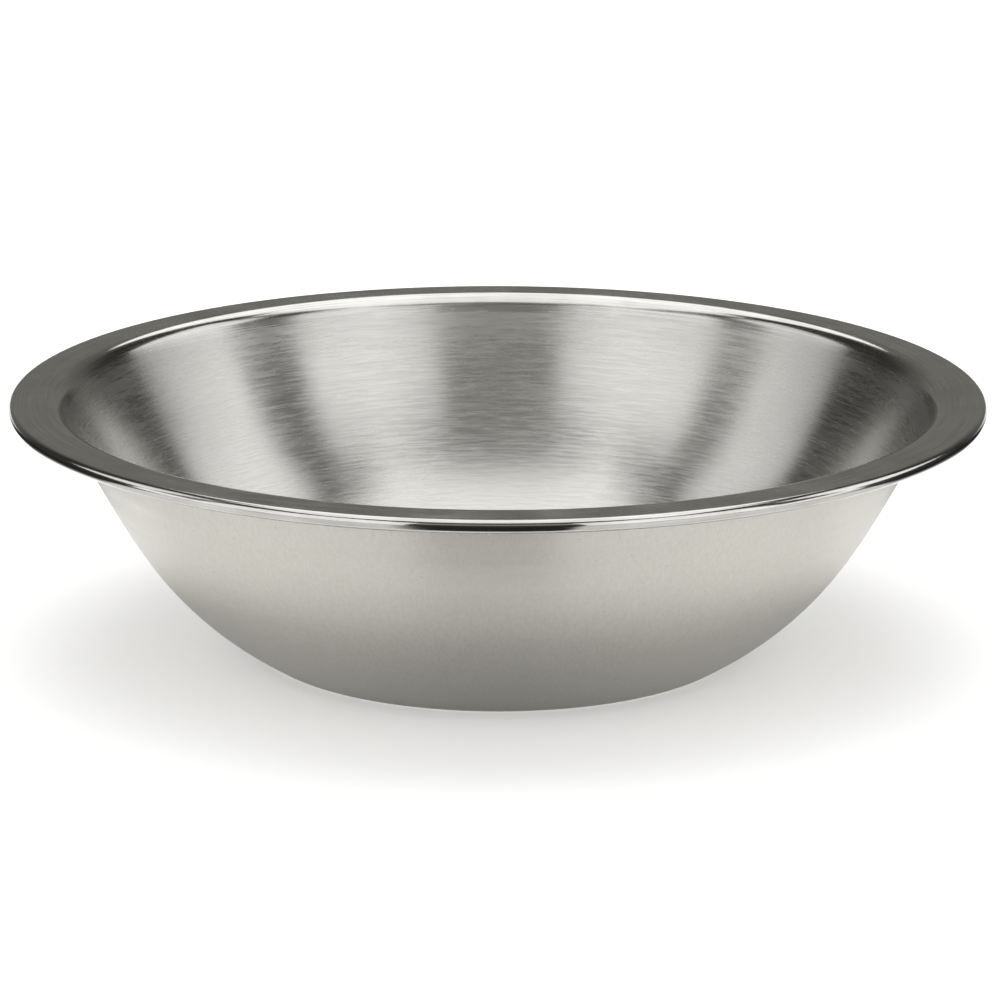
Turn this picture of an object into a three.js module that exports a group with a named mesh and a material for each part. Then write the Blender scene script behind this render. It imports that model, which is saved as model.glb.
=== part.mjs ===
// Wide-rimmed mixing bowl, drawn and spun from one round of stainless steel sheet.
//
// Millimetres, +Z up. The origin is the centre of the flat base, on its underside, so the
// bowl stands on the plane z = 0 and turns about the Z axis. The whole bowl is one piece:
// the flat base, the curved wall, the shoulder, the rim and the rolled edge are the same
// sheet, so they are one solid of even thickness.
import * as THREE from 'three';

// Overall sizes
const RIM_DIAMETER = 300; // over the outside of the rolled edge
const HEIGHT = 80; // underside of the base to the highest line of the rim
const BASE_DIAMETER = 145; // the flat disc that the bowl stands on
const SHEET = 0.7; // thickness of the steel

// Rim and rolled edge
const RIM_WIDTH = 11; // inner end of the straight rim to the outside of the rolled edge
const RIM_FALL_DEG = 1; // how much the rim slopes down towards its edge
const SHOULDER_RADIUS = 6; // food side, where the wall turns over into the rim
const BEAD_DIAMETER = 4; // outside of the rolled edge
const CURL_DEG = 280; // how far round the edge is rolled; it leaves an open gap

// Wall
const WALL_TOP_SLOPE_DEG = 62; // above the horizontal, just under the shoulder
const WALL_FOOT_SLOPE_DEG = 31; // above the horizontal, where the wall leaves the base
const WALL_TOP_REACH = 0.42; // how far the top slope is held, of the wall's straight length
const WALL_FOOT_REACH = 0.38; // how far the foot slope is held, in the same measure
const BASE_CORNER_RADIUS = 5; // outside, between the base and the wall

// Facets
const SEGMENTS_AROUND = 96;
const CORNER_STEPS = 2;
const WALL_STEPS = 9;
const SHOULDER_STEPS = 6;
const BEAD_STEPS = 9;

const STEEL = { color: 0xb3b1aa, roughness: 0.3, metalness: 1.0 };

const radians = THREE.MathUtils.degToRad;

// The sheet is described by its food side, walked outwards from the axis. Each station holds
// a point (r, z) and the slope there: the angle of travel above the horizontal.
const station = (r, z, slope) => ({ r, z, slope });

// Stations along an arc about a centre, from one slope to another. A growing slope bends the
// walk upwards and a falling one bends it downwards.
function arcStations(centre, radius, slopeFrom, slopeTo, steps) {
  const bend = Math.sign(slopeTo - slopeFrom);
  const stations = [];
  for (let step = 0; step <= steps; step += 1) {
    const slope = slopeFrom + ((slopeTo - slopeFrom) * step) / steps;
    const r = centre.r + bend * radius * Math.sin(slope);
    const z = centre.z - bend * radius * Math.cos(slope);
    stations.push(station(r, z, slope));
  }
  return stations;
}

// Stations of the wall: a cubic curve that leaves one station and meets the other at their
// own slopes. The end stations belong to the arcs, so only those in between are given.
function wallStations(foot, top) {
  const straight = Math.hypot(top.r - foot.r, top.z - foot.z);
  const along = (from, reach) =>
    new THREE.Vector2(
      from.r + reach * straight * Math.cos(from.slope),
      from.z + reach * straight * Math.sin(from.slope),
    );
  const curve = new THREE.CubicBezierCurve(
    new THREE.Vector2(foot.r, foot.z),
    along(foot, WALL_FOOT_REACH),
    along(top, -WALL_TOP_REACH),
    new THREE.Vector2(top.r, top.z),
  );
  const stations = [];
  for (let step = 1; step < WALL_STEPS; step += 1) {
    const point = curve.getPoint(step / WALL_STEPS);
    const tangent = curve.getTangent(step / WALL_STEPS);
    stations.push(station(point.x, point.y, tangent.angle()));
  }
  return stations;
}

// The food side from the axis to the free end of the rolled edge.
function foodSide() {
  const rimFall = radians(RIM_FALL_DEG);
  const wallFootSlope = radians(WALL_FOOT_SLOPE_DEG);
  const wallTopSlope = radians(WALL_TOP_SLOPE_DEG);

  const cornerCentre = { r: BASE_DIAMETER / 2, z: BASE_CORNER_RADIUS };
  const cornerRadius = BASE_CORNER_RADIUS - SHEET;
  const corner = arcStations(cornerCentre, cornerRadius, 0, wallFootSlope, CORNER_STEPS);

  const rimStart = RIM_DIAMETER / 2 - RIM_WIDTH;
  const shoulderCentre = {
    r: rimStart - SHOULDER_RADIUS * Math.sin(rimFall),
    z: HEIGHT - SHOULDER_RADIUS,
  };
  const shoulder = arcStations(
    shoulderCentre, SHOULDER_RADIUS, wallTopSlope, -rimFall, SHOULDER_STEPS,
  );

  // The rolled edge is tangent to the straight rim and touches the rim diameter.
  const rimEnd = shoulder[shoulder.length - 1];
  const beadRadius = BEAD_DIAMETER / 2;
  const beadCentreR = RIM_DIAMETER / 2 - beadRadius;
  const drop = (beadRadius + (beadCentreR - rimEnd.r) * Math.sin(rimFall)) / Math.cos(rimFall);
  const beadCentre = { r: beadCentreR, z: rimEnd.z - drop };
  const curlEnd = -rimFall - radians(CURL_DEG);
  const bead = arcStations(beadCentre, beadRadius, -rimFall, curlEnd, BEAD_STEPS);

  const wall = wallStations(corner[corner.length - 1], shoulder[0]);
  return [station(0, SHEET, 0), ...corner, ...wall, ...shoulder, ...bead];
}

// The closed section of the sheet: out along the underside, round the free end and back
// along the food side, so that the steel is always on the left of the walk.
function sheetOutline() {
  const food = foodSide();
  const under = food.map(({ r, z, slope }) =>
    new THREE.Vector2(r + SHEET * Math.sin(slope), z - SHEET * Math.cos(slope)),
  );
  const inner = food.map(({ r, z }) => new THREE.Vector2(r, z)).reverse();
  return [...under, ...inner];
}

// The lathe turns its outline about Y, so the bowl is tipped to stand along Z.
function makeBowl() {
  const geometry = new THREE.LatheGeometry(sheetOutline(), SEGMENTS_AROUND);
  geometry.rotateX(Math.PI / 2);
  const bowl = new THREE.Mesh(geometry, new THREE.MeshStandardMaterial(STEEL));
  bowl.name = 'bowl';
  return bowl;
}

const mixingBowl = new THREE.Group();
mixingBowl.add(makeBowl());

export default mixingBowl;
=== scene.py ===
"""Wide-rimmed stainless mixing bowl: a spun sheet with a brushed food side, a polished rim and
rolled edge, and a satin outside, standing on a pale table under soft studio light."""

import math

import bpy
import numpy as np
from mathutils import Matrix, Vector


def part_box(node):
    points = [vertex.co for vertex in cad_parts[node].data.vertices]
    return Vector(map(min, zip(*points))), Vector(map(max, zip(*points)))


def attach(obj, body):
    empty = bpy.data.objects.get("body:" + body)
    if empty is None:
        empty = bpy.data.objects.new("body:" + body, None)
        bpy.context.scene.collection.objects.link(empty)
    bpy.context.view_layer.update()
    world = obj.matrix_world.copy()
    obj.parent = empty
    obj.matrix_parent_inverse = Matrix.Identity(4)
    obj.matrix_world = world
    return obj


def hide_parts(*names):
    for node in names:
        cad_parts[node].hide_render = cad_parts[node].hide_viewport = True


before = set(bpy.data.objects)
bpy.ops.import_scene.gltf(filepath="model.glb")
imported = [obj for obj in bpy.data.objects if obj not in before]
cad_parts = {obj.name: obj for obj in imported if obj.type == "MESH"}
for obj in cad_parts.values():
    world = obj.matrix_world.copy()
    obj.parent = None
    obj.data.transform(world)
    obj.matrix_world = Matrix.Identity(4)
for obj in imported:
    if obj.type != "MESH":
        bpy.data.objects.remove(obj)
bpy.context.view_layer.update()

MM = 0.001
MICRON = 0.000001

# The bowl, in metres. The overall sizes come from the frame; the rest are the sheet-metal
# sizes that the part is made to.
_, BOX_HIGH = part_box("bowl")
RIM_RADIUS = BOX_HIGH.x
HEIGHT = BOX_HIGH.z
BASE_RADIUS = 72.5 * MM
SHEET = 0.7 * MM
RIM_WIDTH = 11 * MM
RIM_FALL = math.radians(1)
SHOULDER_RADIUS = 6 * MM
BEAD_RADIUS = 2 * MM
CURL = math.radians(280)
WALL_TOP_SLOPE = math.radians(62)
WALL_FOOT_SLOPE = math.radians(31)
WALL_TOP_REACH = 0.42
WALL_FOOT_REACH = 0.38
BASE_CORNER_RADIUS = 5 * MM
BRUSHING_RADIUS = RIM_RADIUS - RIM_WIDTH - SHOULDER_RADIUS - 1 * MM  # the polish starts here

# Steps along each stretch of the section, and columns round the bowl.
BASE_STEPS = 12
CORNER_STEPS = 6
WALL_STEPS = 44
SHOULDER_STEPS = 20
RIM_STEPS = 6
BEAD_STEPS = 34
TIP_STEPS = 5
COLUMNS = 320

# Places of the finishes in the bowl's list of materials.
FOOD_SIDE = 0
RIM_AND_BEAD = 1
OUTSIDE = 2


# Profile -----------------------------------------------------------------------------------

def arc(centre, radius, slope_from, slope_to, steps):
    """Arc walked from one slope to another. A point at slope s stands at the centre plus
    (sin s, -cos s) times the radius, with both signs turned when the walk bends downwards."""
    bend = np.sign(slope_to - slope_from)
    slope = np.linspace(slope_from, slope_to, steps + 1)
    r = centre[0] + bend * radius * np.sin(slope)
    z = centre[1] - bend * radius * np.cos(slope)
    return np.column_stack((r, z, slope))


def heading(slope):
    """Unit direction of a walk along the section at a slope."""
    return np.array([math.cos(slope), math.sin(slope)])


def wall_curve(foot, top):
    """Cubic Bezier from the base corner to the shoulder, leaving each at its own slope. The
    slope in between is the angle of the curve's first derivative."""
    p0, p3 = foot[:2], top[:2]
    straight = np.hypot(*(p3 - p0))
    p1 = p0 + WALL_FOOT_REACH * straight * heading(foot[2])
    p2 = p3 - WALL_TOP_REACH * straight * heading(top[2])
    t = np.linspace(0, 1, WALL_STEPS + 1)[1:-1, None]
    back = 1 - t
    point = back ** 3 * p0 + 3 * back ** 2 * t * p1 + 3 * back * t ** 2 * p2 + t ** 3 * p3
    along = back ** 2 * (p1 - p0) + 2 * back * t * (p2 - p1) + t ** 2 * (p3 - p2)
    return np.column_stack((point, np.arctan2(along[:, 1], along[:, 0])))


def food_side():
    """The food side from near the axis to the free end of the rolled edge, as rows of radius,
    height and slope: flat base, corner arc, wall curve, shoulder arc, straight rim, bead arc."""
    corner = arc((BASE_RADIUS, BASE_CORNER_RADIUS), BASE_CORNER_RADIUS - SHEET,
                 0, WALL_FOOT_SLOPE, CORNER_STEPS)
    base_r = np.linspace(0, BASE_RADIUS, BASE_STEPS + 1)[1:-1]
    base = np.column_stack((base_r, np.full_like(base_r, SHEET), np.zeros_like(base_r)))

    rim_start = RIM_RADIUS - RIM_WIDTH
    shoulder_centre = (rim_start - SHOULDER_RADIUS * math.sin(RIM_FALL), HEIGHT - SHOULDER_RADIUS)
    shoulder = arc(shoulder_centre, SHOULDER_RADIUS, WALL_TOP_SLOPE, -RIM_FALL, SHOULDER_STEPS)

    rim_inner = shoulder[-1]
    bead_r = RIM_RADIUS - BEAD_RADIUS
    drop = (BEAD_RADIUS + (bead_r - rim_inner[0]) * math.sin(RIM_FALL)) / math.cos(RIM_FALL)
    bead = arc((bead_r, rim_inner[1] - drop), BEAD_RADIUS, -RIM_FALL, -RIM_FALL - CURL,
               BEAD_STEPS)
    across = np.linspace(0, 1, RIM_STEPS + 1)[1:-1, None]
    rim = rim_inner * (1 - across) + bead[0] * across

    wall = wall_curve(corner[-1], shoulder[0])
    return np.vstack((base, corner, wall, shoulder, rim, bead))


def sheet_section():
    """The closed section of the sheet, and how many of its stations are on the underside. It
    runs along the underside, which lies one sheet thickness off the food side, round the free
    end by a half circle, and back along the food side."""
    food = food_side()
    r, z, slope = food.T
    under = np.column_stack((r + SHEET * np.sin(slope), z - SHEET * np.cos(slope)))
    end = 0.5 * (food[-1, :2] + under[-1])
    turn = food[-1, 2] + np.linspace(-math.pi / 2, math.pi / 2, TIP_STEPS + 1)[1:-1]
    tip = end + SHEET / 2 * np.column_stack((np.cos(turn), np.sin(turn)))
    return np.vstack((under, tip, food[::-1, :2])), len(under)


# Mesh --------------------------------------------------------------------------------------

def spun_points(section):
    """Surface of revolution of the section: point (r cos a, r sin a, z) for every station of
    the section and every angle a, then the two points where the axis meets the base."""
    angle = np.arange(COLUMNS) * 2 * math.pi / COLUMNS
    x = section[:, :1] * np.cos(angle)
    y = section[:, :1] * np.sin(angle)
    z = np.repeat(section[:, 1:], COLUMNS, axis=1)
    grid = np.stack((x, y, z), axis=2).reshape(-1, 3)
    poles = np.array([[0, 0, 0], [0, 0, SHEET]])
    return np.vstack((grid, poles))


def spun_faces(rows):
    """Four-sided faces between neighbouring stations and angles, then a fan of triangles round
    each point on the axis, all facing out of the steel."""
    row, column = np.meshgrid(np.arange(rows - 1), np.arange(COLUMNS), indexing="ij")
    after = (column + 1) % COLUMNS
    quads = np.stack((row * COLUMNS + column, row * COLUMNS + after,
                      (row + 1) * COLUMNS + after, (row + 1) * COLUMNS + column), axis=2)
    ring = np.arange(COLUMNS)
    ring_after = (ring + 1) % COLUMNS
    last = (rows - 1) * COLUMNS
    pole_below = rows * COLUMNS
    pole_above = pole_below + 1
    fan_below = np.column_stack((np.full(COLUMNS, pole_below), ring_after, ring))
    fan_above = np.column_stack((np.full(COLUMNS, pole_above), last + ring, last + ring_after))
    return quads.reshape(-1, 4).tolist() + fan_below.tolist() + fan_above.tolist()


def spun_uv(section):
    """UV of every face corner: u is the angle as a share of a turn, and v the distance walked
    along the section from the axis as a share of the whole walk."""
    rows = len(section)
    run = section[0, 0] + np.concatenate(([0], np.cumsum(np.hypot(*np.diff(section, axis=0).T))))
    whole = run[-1] + section[-1, 0]
    column = np.tile(np.arange(COLUMNS), rows - 1)
    row = np.repeat(np.arange(rows - 1), COLUMNS)
    u = np.stack((column, column + 1, column + 1, column), axis=1) / COLUMNS
    v = np.stack((run[row], run[row], run[row + 1], run[row + 1]), axis=1) / whole
    ring = np.arange(COLUMNS)
    u_below = np.stack((ring + 0.5, ring + 1, ring), axis=1) / COLUMNS
    u_above = np.stack((ring + 0.5, ring, ring + 1), axis=1) / COLUMNS
    v_below = np.tile([0, run[0], run[0]], (COLUMNS, 1)) / whole
    v_above = np.tile([whole, run[-1], run[-1]], (COLUMNS, 1)) / whole
    return np.concatenate([np.stack(pair, axis=2).ravel() for pair in
                           ((u, v), (u_below, v_below), (u_above, v_above))])


def finish_of_faces(section, under_count):
    """Which finish every face has: satin along the underside up to the rolled edge, brushed
    along the food side up to the brushing radius, and polished in between."""
    centre_r = (section[:-1, 0] + section[1:, 0]) / 2
    is_under = np.arange(len(centre_r)) < under_count - BEAD_STEPS
    finish = np.where(is_under, OUTSIDE, RIM_AND_BEAD)
    finish = np.where(~is_under & (centre_r < BRUSHING_RADIUS), FOOD_SIDE, finish)
    fans = np.repeat([OUTSIDE, FOOD_SIDE], COLUMNS)
    return np.concatenate((np.repeat(finish, COLUMNS), fans))


def make_bowl():
    """The spun sheet as one closed mesh, with its UV map and its three finishes."""
    section, under_count = sheet_section()
    finish = finish_of_faces(section, under_count)
    mesh = bpy.data.meshes.new("bowl_shell")
    mesh.from_pydata(spun_points(section), [], spun_faces(len(section)))
    mesh.uv_layers.new(name="spin").data.foreach_set("uv", spun_uv(section).astype(np.float32))
    mesh.polygons.foreach_set("material_index", finish.astype(np.int32))
    mesh.polygons.foreach_set("use_smooth", np.ones(len(finish), bool))
    mesh.update()
    mesh.validate()

    bowl = bpy.data.objects.new("bowl_shell", mesh)
    bpy.context.scene.collection.objects.link(bowl)
    for make_finish in (brushed_food_side, polished_rim, satin_outside):
        mesh.materials.append(make_finish())
    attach(bowl, "root")
    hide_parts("bowl")


# Finishes ----------------------------------------------------------------------------------

NOISE_RANGE = (0.3, 0.7)  # a single noise mostly stays within this
TONE_RANGE = (0.36, 0.64)  # and a mix of two noises within this
QUARTER_TURN = 0.25


def new_finish(name, colour, roughness, metallic=1.0):
    """A Principled finish: the material, its shader, a node-making helper, a linking helper."""
    material = bpy.data.materials.new(name)
    material.use_nodes = True
    tree = material.node_tree
    shader = next(n for n in tree.nodes if n.type == "BSDF_PRINCIPLED")
    shader.inputs["Base Color"].default_value = (*colour, 1)
    shader.inputs["Roughness"].default_value = roughness
    shader.inputs["Metallic"].default_value = metallic

    def add(kind, inputs=None, **settings):
        node = tree.nodes.new(kind)
        for key, value in settings.items():
            setattr(node, key, value)
        for socket, value in (inputs or {}).items():
            if hasattr(value, "is_linked"):
                tree.links.new(value, node.inputs[socket])
            else:
                node.inputs[socket].default_value = value
        return node

    def drive(socket, value):
        tree.links.new(value, shader.inputs[socket])

    return material, shader, add, drive


def spread_across_the_brushing(shader, add, drive, anisotropy):
    """Highlights spread along the section, across grooves that run round the bowl."""
    shader.inputs["Anisotropic"].default_value = anisotropy
    shader.inputs["Anisotropic Rotation"].default_value = QUARTER_TURN
    drive("Tangent", add("ShaderNodeTangent", direction_type="UV_MAP", uv_map="spin").outputs[0])


def object_place(add):
    """Place in the bowl's own frame, in metres."""
    return add("ShaderNodeTexCoord").outputs["Object"]


def away_from_axis(add):
    """Place with its height taken out."""
    return add("ShaderNodeVectorMath", {0: object_place(add), 1: (1, 1, 0)},
               operation="MULTIPLY").outputs[0]


def axis_distance(add):
    """Distance from the bowl's axis, in metres."""
    return add("ShaderNodeVectorMath", {0: away_from_axis(add)},
               operation="LENGTH").outputs["Value"]


def height_above_table(add):
    """Height above the table the bowl stands on, in metres."""
    return add("ShaderNodeSeparateXYZ", {0: object_place(add)}).outputs["Z"]


def turned_noise(add, round_the_bowl, across, detail, seed=0.0):
    """Noise drawn out round the bowl. It is read at the bearing, as a point on a circle of
    radius round_the_bowl, and at the distance from the axis plus the height, times across
    (so the features are 1 / across metres wide)."""
    bearing = add("ShaderNodeVectorMath", {0: away_from_axis(add)}, operation="NORMALIZE")
    circle = add("ShaderNodeVectorMath", {0: bearing.outputs[0], "Scale": round_the_bowl},
                 operation="SCALE")
    run = total(add, axis_distance(add), height_above_table(add))
    run = add("ShaderNodeMath", {0: run, 1: across, 2: seed}, operation="MULTIPLY_ADD")
    lift = add("ShaderNodeCombineXYZ", {"Z": run.outputs[0]})
    where = add("ShaderNodeVectorMath", {0: circle.outputs[0], 1: lift.outputs[0]},
                operation="ADD")
    return add("ShaderNodeTexNoise", {"Vector": where.outputs[0], "Scale": 1.0,
                                      "Detail": detail, "Roughness": 0.5}).outputs[0]


def even_noise(add, per_metre, detail):
    """Noise with no direction, with features 1 / per_metre metres across."""
    return add("ShaderNodeTexNoise", {"Vector": object_place(add), "Scale": per_metre,
                                      "Detail": detail, "Roughness": 0.5}).outputs[0]


def ramp(add, value, from_low, from_high, to_low, to_high):
    """Value carried smoothly from one range to another, and held at its ends."""
    return add("ShaderNodeMapRange", {"Value": value, "From Min": from_low, "From Max": from_high,
                                      "To Min": to_low, "To Max": to_high},
               interpolation_type="SMOOTHSTEP").outputs[0]


def total(add, *values):
    """Sum of several values."""
    running = values[0]
    for value in values[1:]:
        running = add("ShaderNodeMath", {0: running, 1: value}, operation="ADD").outputs[0]
    return running


def product(add, *values):
    """Product of several values."""
    running = values[0]
    for value in values[1:]:
        running = add("ShaderNodeMath", {0: running, 1: value}, operation="MULTIPLY").outputs[0]
    return running


def mixed(add, share, first, second):
    """Mix of two noises, with the given share of the first."""
    return total(add, product(add, first, share), product(add, second, 1 - share))


def tint(add, value, dark, light):
    """Colour between a dark and a light tone, by a mix of two noises."""
    factor = ramp(add, value, *TONE_RANGE, 0, 1)
    return add("ShaderNodeMix", {"Factor": factor, "A": (*dark, 1), "B": (*light, 1)},
               data_type="RGBA").outputs["Result"]


def grooves(add, depth, height, under=None):
    """Bump of the given depth in metres over a height field, on top of an earlier bump."""
    inputs = {"Height": height, "Distance": depth, "Strength": 1.0}
    if under is not None:
        inputs["Normal"] = under
    return add("ShaderNodeBump", inputs).outputs[0]


def brushed_food_side():
    """Circular brushing: streaks about 1 mm wide and 15 to 20 mm long, with finer ones among
    them, a little duller just under the shoulder and coarser towards the flat base."""
    material, shader, add, drive = new_finish("brushed_food_side", (0.62, 0.61, 0.585), 0.25)
    spread_across_the_brushing(shader, add, drive, anisotropy=0.75)
    broad = turned_noise(add, round_the_bowl=7, across=900, detail=3)
    fine = turned_noise(add, round_the_bowl=22, across=2600, detail=2, seed=7.0)
    cloudy = even_noise(add, per_metre=26, detail=2)
    radius = axis_distance(add)

    under_shoulder = ramp(add, radius, BRUSHING_RADIUS - 8 * MM, BRUSHING_RADIUS, 0, 0.05)
    drive("Roughness", total(
        add, ramp(add, broad, *NOISE_RANGE, 0.225, 0.27),
        ramp(add, fine, *NOISE_RANGE, -0.015, 0.015),
        ramp(add, cloudy, *NOISE_RANGE, -0.015, 0.015), under_shoulder))
    drive("Base Color", tint(add, mixed(add, 0.5, broad, fine),
                             dark=(0.565, 0.555, 0.53), light=(0.67, 0.66, 0.637)))
    coarse = ramp(add, radius, BASE_RADIUS, BRUSHING_RADIUS, 1.8, 0.6)
    streaks = grooves(add, 1.7 * MICRON, product(add, broad, coarse))
    drive("Normal", grooves(add, 0.8 * MICRON, fine, under=streaks))
    return material


def polished_rim():
    """Buffed shoulder, rim and rolled edge: nearly a mirror, with hair-fine circular lines, a
    little haze, and the brushing of the food side fading out over the shoulder."""
    material, shader, add, drive = new_finish("polished_rim", (0.64, 0.63, 0.61), 0.06)
    spread_across_the_brushing(shader, add, drive, anisotropy=0.8)
    hairline = turned_noise(add, round_the_bowl=5, across=2600, detail=2, seed=3.0)
    haze = even_noise(add, per_metre=55, detail=3)
    radius = axis_distance(add)

    brushing = ramp(add, radius, BRUSHING_RADIUS, BRUSHING_RADIUS + 3.5 * MM, 0.15, 0)
    drive("Roughness", total(add, ramp(add, haze, 0.35, 0.7, 0.09, 0.13),
                             ramp(add, hairline, 0.4, 0.7, 0, 0.05), brushing))
    drive("Base Color", tint(add, mixed(add, 0.4, haze, hairline),
                             dark=(0.53, 0.52, 0.50), light=(0.69, 0.68, 0.66)))
    drive("Normal", grooves(add, 2 * MICRON, hairline))
    return material


def satin_outside():
    """Satin outside: a fine mottle with a soft upright grain, faint rings from the spinning,
    small dull specks, and turning marks on the flat base."""
    material, shader, add, drive = new_finish("satin_outside", (0.66, 0.645, 0.595), 0.45)
    spread_across_the_brushing(shader, add, drive, anisotropy=0.6)
    rings = turned_noise(add, round_the_bowl=1.5, across=260, detail=2)
    upright = turned_noise(add, round_the_bowl=130, across=320, detail=3, seed=11.0)
    mottle = even_noise(add, per_metre=1500, detail=3)
    speckle = turned_noise(add, round_the_bowl=95, across=1500, detail=1, seed=19.0)
    turning = turned_noise(add, round_the_bowl=2, across=1500, detail=2, seed=5.0)

    speck = ramp(add, speckle, 0.70, 0.78, 0, 1)
    on_base = ramp(add, height_above_table(add), 0.2 * MM, 1.5 * MM, 1, 0)
    drive("Roughness", total(
        add, ramp(add, mottle, *NOISE_RANGE, 0.36, 0.43),
        ramp(add, rings, *NOISE_RANGE, -0.02, 0.02),
        ramp(add, upright, *NOISE_RANGE, -0.02, 0.02), product(add, speck, 0.08)))
    even = tint(add, mixed(add, 0.5, mottle, upright),
                dark=(0.635, 0.618, 0.566), light=(0.69, 0.675, 0.625))
    specked = add("ShaderNodeMix", {"Factor": product(add, speck, 0.5), "A": even,
                                    "B": (0.42, 0.40, 0.37, 1)}, data_type="RGBA")
    drive("Base Color", specked.outputs["Result"])
    grain = grooves(add, 5 * MICRON, total(add, mottle, product(add, on_base, turning, 4.0)))
    drive("Normal", grooves(add, 30 * MICRON, rings, under=grain))
    return material


# Studio ------------------------------------------------------------------------------------

# Standing softboxes, square to the bowl at one distance: name, bearing of the two upright edges
# (degrees from the camera side, to the right positive), elevation of the lower and upper edge
# as seen from the rim, radiance.
SOFTBOX_DISTANCE = 2.0
STANDING_SOFTBOXES = (
    ("front_left", -72, -20, 1, 47, 1.0),
    ("front_right", 19, 67, 1, 47, 1.0),
    ("front_dim", -20, 19, 42, 58, 0.05),
    ("front_low", -20, 19, 27, 42, 0.29),
    ("corner_left", -88, -72, 20, 46, 0.10),
    ("low_left", -88, -72, 1, 20, 1.0),
    ("low_right", 67, 88, 1, 20, 1.0),
    ("side_left", -117, -88, 20, 51, 0.8),
    ("side_right", 87, 126, 20, 51, 0.95),
)
# Softboxes lying overhead, facing down: name, nearest and farthest edge (y), width, radiance.
OVERHEAD_HEIGHT = 1.1
OVERHEAD_SOFTBOXES = (
    ("overhead", -0.49, 0.35, 1.22, 1.05),
    ("overhead_back", 0.35, 1.65, 0.85, 1.15),
)
# Broad fills over the table that steel, which only mirrors, doesn't see: name, radiance,
# whether the bowl shades the table from it.
FILL_HEIGHT = 2.4
FILL_WIDTH = 5
FILLS = (("table_fill", 0.6, True), ("shadow_lift", 2.6, False))
DIM_RADIANCE = 0.34  # softboxes under this shine in the warmer colour of the dim room
DIM_COLOUR = (1, 0.995, 0.92)
WHITE = (1, 1, 1)
DOWN = (0, 0, -1)
WATTS_PER_RADIANCE = 4  # an area light of one square metre at this power shines at radiance one

# The room that the steel mirrors is dark, and grows to dim as a direction turns straight
# away from the camera: how bright each is, and the y of the direction where it begins.
DARK_ROOM, DARK_ROOM_Y = 0.04, 0.70
DIM_ROOM, DIM_ROOM_Y = 0.19, 0.94
BACKDROP = (0.95, 0.95, 0.95)


def area_light(name, place, facing, width, height, radiance, colour):
    """A rectangular softbox at a place, turned to a direction, that the camera doesn't see."""
    data = bpy.data.lights.new(name, "AREA")
    data.color = colour
    data.shape = "RECTANGLE"
    data.size = width
    data.size_y = height
    data.energy = radiance * width * height * WATTS_PER_RADIANCE
    light = bpy.data.objects.new(name, data)
    light.location = place
    light.rotation_euler = Vector(facing).to_track_quat("-Z", "Y").to_euler()
    light.visible_camera = False
    bpy.context.scene.collection.objects.link(light)
    return light


def make_lights():
    """Every softbox and fill of the three lists above."""
    for name, edge_a, edge_b, low, high, radiance in STANDING_SOFTBOXES:
        bearing = math.radians((edge_a + edge_b) / 2)
        half = math.radians(abs(edge_b - edge_a) / 2)
        low_z = SOFTBOX_DISTANCE * math.tan(math.radians(low))
        high_z = SOFTBOX_DISTANCE * math.tan(math.radians(high))
        towards = Vector((math.sin(bearing), -math.cos(bearing), 0))
        place = SOFTBOX_DISTANCE * towards + Vector((0, 0, HEIGHT + (low_z + high_z) / 2))
        width = 2 * SOFTBOX_DISTANCE * math.tan(half)
        colour = DIM_COLOUR if radiance < DIM_RADIANCE else WHITE
        area_light(name, place, -towards, width, high_z - low_z, radiance, colour)
    for name, near, far, width, radiance in OVERHEAD_SOFTBOXES:
        place = (0, (near + far) / 2, OVERHEAD_HEIGHT)
        area_light(name, place, DOWN, width, far - near, radiance, WHITE)
    for name, radiance, shades in FILLS:
        place = (0, 0, FILL_HEIGHT)
        fill = area_light(name, place, DOWN, FILL_WIDTH, FILL_WIDTH, radiance, WHITE)
        fill.visible_glossy = False
        fill.data.use_shadow = shades


def make_world():
    """Dark room on the camera side, dim room behind; the camera itself sees a pale backdrop."""
    world = bpy.data.worlds.new("studio")
    bpy.context.scene.world = world
    world.use_nodes = True
    nodes, links = world.node_tree.nodes, world.node_tree.links
    nodes.clear()
    direction = nodes.new("ShaderNodeTexCoord")
    split = nodes.new("ShaderNodeSeparateXYZ")
    depth = nodes.new("ShaderNodeMapRange")
    depth.inputs["From Min"].default_value = DARK_ROOM_Y
    depth.inputs["From Max"].default_value = DIM_ROOM_Y
    depth.inputs["To Min"].default_value = DARK_ROOM
    depth.inputs["To Max"].default_value = DIM_ROOM
    room = nodes.new("ShaderNodeBackground")
    room.inputs["Color"].default_value = (*DIM_COLOUR, 1)
    backdrop = nodes.new("ShaderNodeBackground")
    backdrop.inputs["Color"].default_value = (*BACKDROP, 1)
    path = nodes.new("ShaderNodeLightPath")
    mix = nodes.new("ShaderNodeMixShader")
    output = nodes.new("ShaderNodeOutputWorld")
    links.new(direction.outputs["Generated"], split.inputs[0])
    links.new(split.outputs["Y"], depth.inputs["Value"])
    links.new(depth.outputs[0], room.inputs["Strength"])
    links.new(path.outputs["Is Camera Ray"], mix.inputs[0])
    links.new(room.outputs[0], mix.inputs[1])
    links.new(backdrop.outputs[0], mix.inputs[2])
    links.new(mix.outputs[0], output.inputs["Surface"])


TABLE_RADIUS = 1.7
TABLE_SIDES = 64


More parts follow.
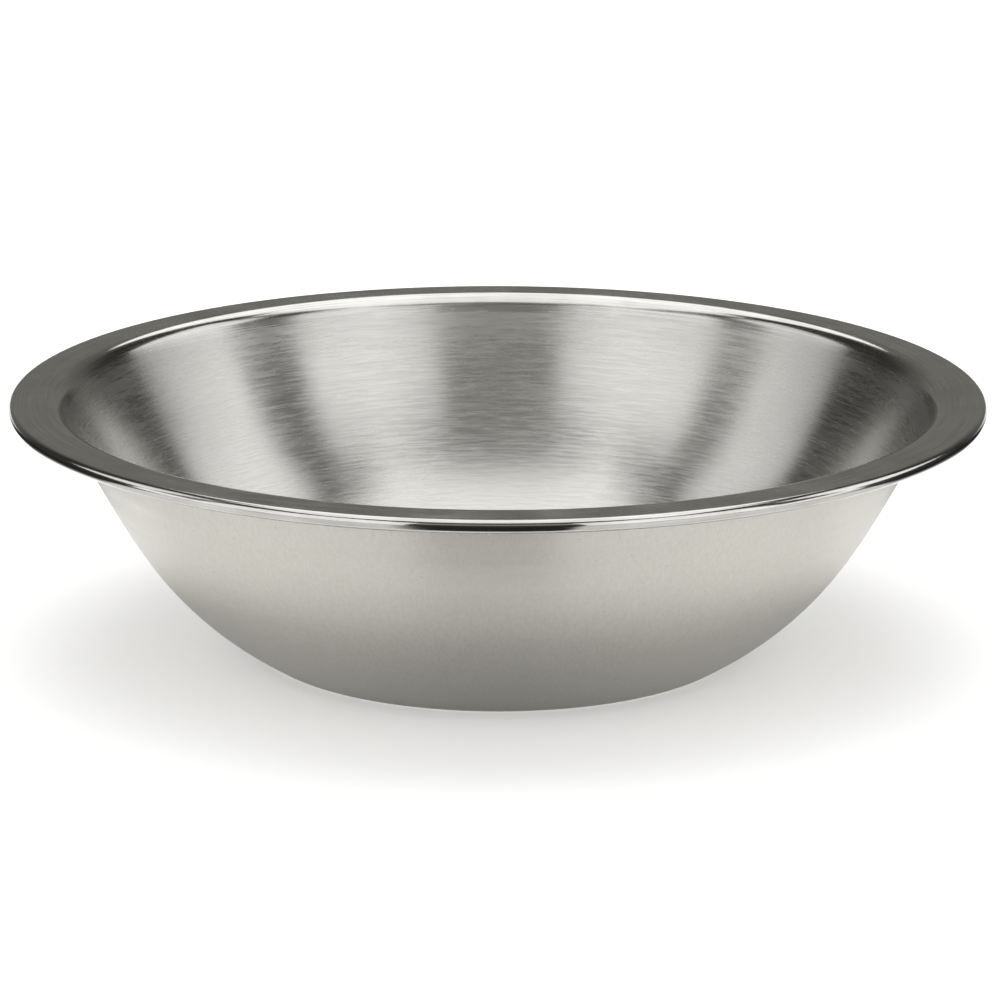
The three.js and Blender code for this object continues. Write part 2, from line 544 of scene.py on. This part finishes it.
def make_table():
    """Round pale table top, a flat disc: point (R cos a, R sin a, 0) for every angle a."""
    angle = np.linspace(0, 2 * math.pi, TABLE_SIDES + 1)[:-1]
    rim = TABLE_RADIUS * np.column_stack((np.cos(angle), np.sin(angle), np.zeros_like(angle)))
    mesh = bpy.data.meshes.new("table")
    mesh.from_pydata(rim, [], [list(range(TABLE_SIDES))])
    table = bpy.data.objects.new("table", mesh)
    bpy.context.scene.collection.objects.link(table)
    material, shader, _, _ = new_finish("pale_table", (0.86, 0.86, 0.86), 0.9, metallic=0)
    shader.inputs["Specular IOR Level"].default_value = 0
    mesh.materials.append(material)


# The table as the steel mirrors it, in painted shade: how light each stretch is painted, from 0
# to 1.
UNDER_FRONT_SHADE = 0.40  # painted shadow under the bowl, on the camera side
UNDER_BOWL_SHADE = 0.48  # painted shadow under the bowl elsewhere
FRONT_NEAR_SHADE = 0.87  # just outside the bowl's shadow, on the camera side
NEAR_SHADE = 1.0  # just outside the bowl's shadow elsewhere
LIT_SHADE = 0.6  # painted grey far out, towards the two front softboxes
BEHIND_SHADE = 0.8  # far out, behind the bowl
DARK_SHADE = 0.015  # painted black far out, to the sides and in the front wedge
# Distances from the axis over which one stretch fades into the next.
SHADOW_FADES = (115 * MM, 139 * MM)
NEAR_FADES = (146 * MM, 183 * MM)
FRONT_REACHES_ON = (4 * MM, 4 * MM)  # added to the near fades in the front wedge
SIDE_REACHES_ON = (24 * MM, 67 * MM)  # added to the near fades at the sides
# Bearings, in degrees away from the camera side, over which one stretch fades into the next.
UNDER_BEARINGS = (0, 60)
NEAR_BEARINGS = (0, 75)
SIDE_BEARINGS = (76, 83)
BEHIND_BEARINGS = (130, 150)
WEDGE_AT_THE_RIM = 11  # half the width of the front wedge
WEDGE_WIDENS_BY = 9  # and how much more that is far out
WEDGE_LEFT_EDGE = (-5, 2)
WEDGE_RIGHT_EDGE = (-3, 0)


def painted_table_shade(radius, bearing):
    """Painted shade of the table as the steel mirrors it: a painted shadow dimming it under the
    bowl, left light just outside its base and behind it, painted grey towards the two front
    softboxes, and painted black far to the sides and in a wedge straight in front, which widens
    outwards from the rim. Each change is a smooth step in the radius or in the bearing."""
    def step(value, low, high):
        t = np.clip((value - low) / (high - low), 0, 1)
        return t * t * (3 - 2 * t)

    def between(first, second, share):
        return first + (second - first) * share

    away = np.abs(bearing)
    half = WEDGE_AT_THE_RIM + WEDGE_WIDENS_BY * (1 - RIM_RADIUS / np.maximum(radius, RIM_RADIUS))
    from_left = step(bearing + half, *WEDGE_LEFT_EDGE)
    to_right = 1 - step(bearing - half, *WEDGE_RIGHT_EDGE)
    front = from_left * to_right
    behind = step(away, *BEHIND_BEARINGS)
    side = step(away, *SIDE_BEARINGS) * (1 - behind)
    far = between(LIT_SHADE, BEHIND_SHADE, behind)
    far = between(far, DARK_SHADE, np.maximum(front, side))
    near = between(FRONT_NEAR_SHADE, NEAR_SHADE, step(away, *NEAR_BEARINGS))
    under = between(UNDER_FRONT_SHADE, UNDER_BOWL_SHADE, step(away, *UNDER_BEARINGS))
    fades_from = NEAR_FADES[0] + FRONT_REACHES_ON[0] * front + SIDE_REACHES_ON[0] * side
    fades_to = NEAR_FADES[1] + FRONT_REACHES_ON[1] * front + SIDE_REACHES_ON[1] * side
    outside = between(near, far, step(radius, fades_from, fades_to))
    return between(under, outside, step(radius, *SHADOW_FADES))


MIRRORED_RINGS = np.concatenate((np.linspace(0.005, 0.23, 46), [0.3, 0.6, 1.5, 3]))  # radii
MIRRORED_COLUMNS = 360
MIRRORED_LIFT = 0.6 * MM


def make_mirrored_table():
    """A disc a hair above the table that only reflections see, with its colour painted in shade,
    so that the steel mirrors painted black patches and a painted shadow of the bowl while the
    table itself stays pale: rings of points at growing radii, each with its painted shade from
    the function above."""
    bearing = np.linspace(-180, 180, MIRRORED_COLUMNS + 1)[:-1]
    ring, turn = np.meshgrid(MIRRORED_RINGS, bearing, indexing="ij")
    angle = np.radians(turn)
    height = np.full_like(ring, MIRRORED_LIFT)
    place = np.stack((ring * np.sin(angle), -ring * np.cos(angle), height), axis=2)
    row, column = np.meshgrid(np.arange(len(MIRRORED_RINGS) - 1), np.arange(MIRRORED_COLUMNS),
                              indexing="ij")
    after = (column + 1) % MIRRORED_COLUMNS
    start = row * MIRRORED_COLUMNS
    outer = start + MIRRORED_COLUMNS
    quads = np.stack((start + column, outer + column, outer + after, start + after), axis=2)
    mesh = bpy.data.meshes.new("mirrored_table")
    mesh.from_pydata(place.reshape(-1, 3), [], quads.reshape(-1, 4).tolist())
    shade = mesh.attributes.new("shade", "FLOAT", "POINT")
    shade.data.foreach_set("value", painted_table_shade(ring, turn).ravel().astype(np.float32))
    table = bpy.data.objects.new("mirrored_table", mesh)
    bpy.context.scene.collection.objects.link(table)
    # The card's base colour is painted shade read from its points: a painted shadow under the
    # bowl and painted black far out.
    material, shader, add, drive = new_finish("painted_shade_card", (0.5, 0.5, 0.5), 1, metallic=0)
    shader.inputs["Specular IOR Level"].default_value = 0
    drive("Base Color", add("ShaderNodeAttribute", attribute_name="shade").outputs["Fac"])
    mesh.materials.append(material)
    table.visible_camera = False
    table.visible_diffuse = False
    table.visible_shadow = False


CAMERA_DISTANCE = 10 * RIM_RADIUS  # from the middle of the rim
CAMERA_ELEVATION = math.radians(13.93)  # as seen from the middle of the rim
CAMERA_PITCH = math.radians(15.208)  # how far it looks down
CAMERA_ROLL = math.radians(0.1)
LENS = 175.4
SENSOR_WIDTH = 36


def make_camera():
    """Long lens a little above the rim, looking slightly down."""
    data = bpy.data.cameras.new("camera")
    data.lens = LENS
    data.sensor_width = SENSOR_WIDTH
    camera = bpy.data.objects.new("camera", data)
    back = CAMERA_DISTANCE * math.cos(CAMERA_ELEVATION)
    up = CAMERA_DISTANCE * math.sin(CAMERA_ELEVATION)
    camera.location = (0, -back, HEIGHT + up)
    camera.rotation_euler = (math.pi / 2 - CAMERA_PITCH, -CAMERA_ROLL, 0)
    bpy.context.scene.collection.objects.link(camera)
    bpy.context.scene.camera = camera


make_camera()
make_bowl()
make_table()
make_mirrored_table()
make_world()
make_lights()
bpy.context.scene.view_settings.view_transform = "Standard"
